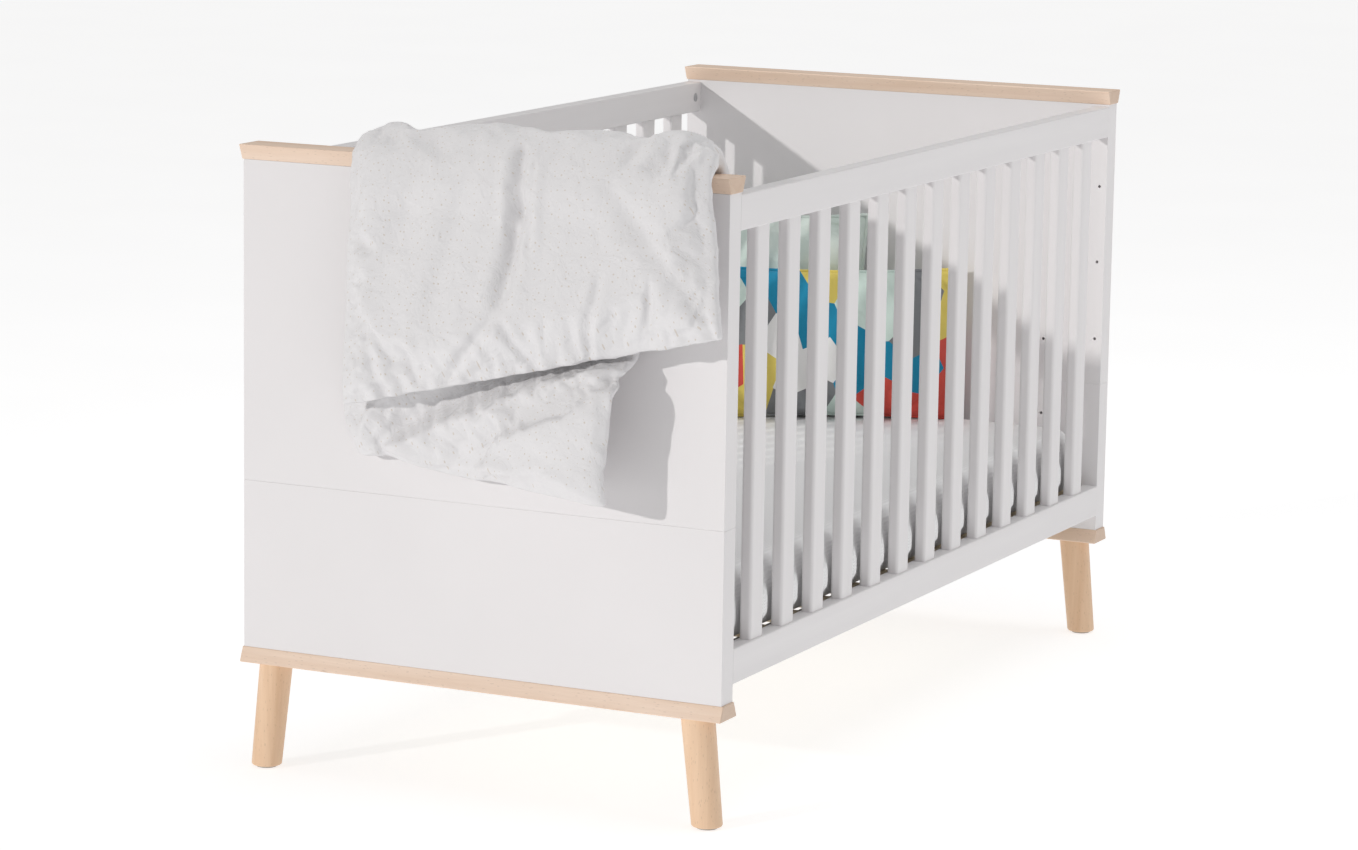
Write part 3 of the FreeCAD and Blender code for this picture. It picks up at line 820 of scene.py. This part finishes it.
# ------------------------------------------------------------------ mattress and its fitted sheet
def foam_mattress():
    """A plump foam block with rounded corners and edges, its sides bulging out between the slats."""
    size = mattress_high - mattress_low
    centre = (mattress_high + mattress_low) / 2
    bpy.ops.object.select_all(action="DESELECT")
    bpy.ops.mesh.primitive_cube_add(size=1, location=centre, scale=size - Vector((0.004, 0.004, 0.001)))
    block = bpy.context.object
    block.name = "mattress_block"
    bpy.ops.object.transform_apply(location=True, rotation=True, scale=True)
    bpy.ops.object.mode_set(mode="EDIT")
    bpy.ops.mesh.select_mode(type="EDGE")
    bpy.ops.mesh.select_all(action="DESELECT")
    bpy.ops.object.mode_set(mode="OBJECT")
    for edge in block.data.edges:
        first, second = (block.data.vertices[v].co for v in edge.vertices)
        edge.select = abs(first.z - second.z) > size.z / 2
    bpy.ops.object.mode_set(mode="EDIT")
    bpy.ops.mesh.bevel(offset=mattress_corner, segments=8)
    bpy.ops.object.mode_set(mode="OBJECT")
    for level, soft in ((mattress_high.z, mattress_top_edge), (mattress_low.z, mattress_low_edge)):
        bpy.ops.object.mode_set(mode="EDIT")
        bpy.ops.mesh.select_all(action="DESELECT")
        bpy.ops.object.mode_set(mode="OBJECT")
        for edge in block.data.edges:
            edge.select = all(abs(block.data.vertices[v].co.z - level) < 0.001 for v in edge.vertices)
        bpy.ops.object.mode_set(mode="EDIT")
        bpy.ops.mesh.bevel(offset=soft, segments=5)
        bpy.ops.object.mode_set(mode="OBJECT")
    apply_modifier(block, "REMESH", mode="VOXEL", voxel_size=mattress_voxel)
    half = size / 2

    def plump(point):
        side = ease(1 - (half.x - abs(point.x)) / 0.03)
        belly = ease((point.z - bulge_low) / 0.018) * ease((bulge_high - point.z) / 0.022)
        between = max(0.0, math.cos(math.pi * point.y / slat_pitch + math.pi / 2) ** 2 - 0.17) / 0.83
        if abs(point.y) > half.y - 0.03:
            between = 0.0
        point.x += math.copysign(side * belly * (0.0035 + 0.0135 * between ** 1.2), point.x)
        return point

    reshape(block, plump)
    return block


ticking = waffle_cotton("mattress_ticking", (0.80, 0.79, 0.77), 0.006, 0.0006)
sheet_finish = waffle_cotton("sheet_jersey", (0.90, 0.90, 0.905), 0.0045, 0.0005)
mattress = foam_mattress()
only(mattress)
bpy.ops.object.duplicate()
sheet = bpy.context.object
sheet.name = "stretched_sheet"
finish_cloth(mattress, ticking, "bedded_mattress", "mattress")

sheet_points = sheet.data.vertices
sheet_normals = [point.normal.copy() for point in sheet_points]
side_x, side_y = mattress_high.x, mattress_high.y
for point, normal in zip(sheet_points, sheet_normals):
    flank = 1 - abs(normal.z)
    corner = ease((abs(point.co.x) - side_x + 0.16) / 0.16) * ease((abs(point.co.y) - side_y + 0.16) / 0.16)
    run = point.co.x + point.co.y
    ripple = noise.noise(Vector((point.co.x * 16, point.co.y * 16, point.co.z * 3)))
    gather = math.sin(run * 150) * corner * ease((mattress_high.z - point.co.z) / 0.03)
    point.co += normal * (0.0012 + flank * (0.0011 * (ripple + 0.6) + 0.0008 * (gather + 1)))
only(sheet)
bpy.ops.object.mode_set(mode="EDIT")
bpy.ops.mesh.select_mode(type="FACE")
bpy.ops.mesh.select_all(action="DESELECT")
bpy.ops.object.mode_set(mode="OBJECT")
for face in sheet.data.polygons:
    middle = face.center
    face.select = (middle.z < mattress_low.z + 0.004 and abs(middle.x) < side_x - sheet_hem
                   and abs(middle.y) < side_y - sheet_hem)
bpy.ops.object.mode_set(mode="EDIT")
bpy.ops.mesh.delete(type="FACE")
bpy.ops.object.mode_set(mode="OBJECT")
apply_modifier(sheet, "SOLIDIFY", thickness=sheet_cloth, offset=1)
finish_cloth(sheet, sheet_finish, "bedded_mattress", "fitted_sheet")


# ------------------------------------------------------------------ floor, light and camera
bpy.ops.object.select_all(action="DESELECT")
bpy.ops.mesh.primitive_plane_add(size=60, location=(0, 10, 0))
floor = bpy.context.object
floor.name = "studio_floor"
floor_finish, tree, surface = start_finish("pale_floor")
mottle = add(tree, "TexNoise", vector=object_place(tree), scale=2.0, detail=2.0).outputs["Fac"]
tree.links.new(tones(tree, mottle, (0.3, (0.49, 0.49, 0.495)), (0.7, (0.51, 0.51, 0.515))),
               surface.inputs["Base Color"])
surface.inputs["Roughness"].default_value = 0.9
surface.inputs["Emission Color"].default_value = (1, 1, 1, 1)
surface.inputs["Emission Strength"].default_value = 0.68
floor.data.materials.append(floor_finish)
floor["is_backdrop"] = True

world = bpy.data.worlds.new("soft_room")
scene.world = world
world.use_nodes = True
world.node_tree.nodes["Background"].inputs["Color"].default_value = (1.0, 0.995, 0.985, 1)
world.node_tree.nodes["Background"].inputs["Strength"].default_value = 0.36

sun = bpy.data.objects.new("low_sun", bpy.data.lights.new("low_sun", "SUN"))
sun.data.energy = 1.20
sun.data.angle = math.radians(1.2)
sun.data.color = (1.0, 0.98, 0.96)
sun.rotation_euler = sunlight.to_track_quat("-Z", "Y").to_euler()
scene.collection.objects.link(sun)

fill = bpy.data.objects.new("right_fill", bpy.data.lights.new("right_fill", "AREA"))
fill.data.shape = "RECTANGLE"
fill.data.size, fill.data.size_y = 5.0, 3.5
fill.data.energy = 34
fill.location = (5.0, 0.6, 2.4)
fill.rotation_euler = (Vector((0, 0, 0.5)) - fill.location).to_track_quat("-Z", "Y").to_euler()
scene.collection.objects.link(fill)

ceiling = bpy.data.objects.new("ceiling_fill", bpy.data.lights.new("ceiling_fill", "AREA"))
ceiling.data.size = 4.0
ceiling.data.energy = 60
ceiling.location = (0.6, 0.4, 4.2)
scene.collection.objects.link(ceiling)

camera = bpy.data.objects.new("camera", bpy.data.cameras.new("camera"))
ahead = Vector((-math.sin(camera_turn) * math.cos(camera_tilt), math.cos(camera_turn) * math.cos(camera_tilt),
                -math.sin(camera_tilt)))
level = Vector((math.cos(camera_turn), math.sin(camera_turn), 0))
upward = level.cross(ahead)
right = level * math.cos(camera_roll) + upward * math.sin(camera_roll)
top = upward * math.cos(camera_roll) - level * math.sin(camera_roll)
stance = Matrix((right, top, -ahead)).transposed().to_4x4()
stance.translation = camera_place
camera.matrix_world = stance
camera.data.lens = camera_lens
camera.data.sensor_width = 36
camera.data.sensor_fit = "HORIZONTAL"
camera.data.clip_end = 100
scene.collection.objects.link(camera)
scene.camera = camera
scene.view_settings.view_transform = "Standard"

low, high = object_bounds()
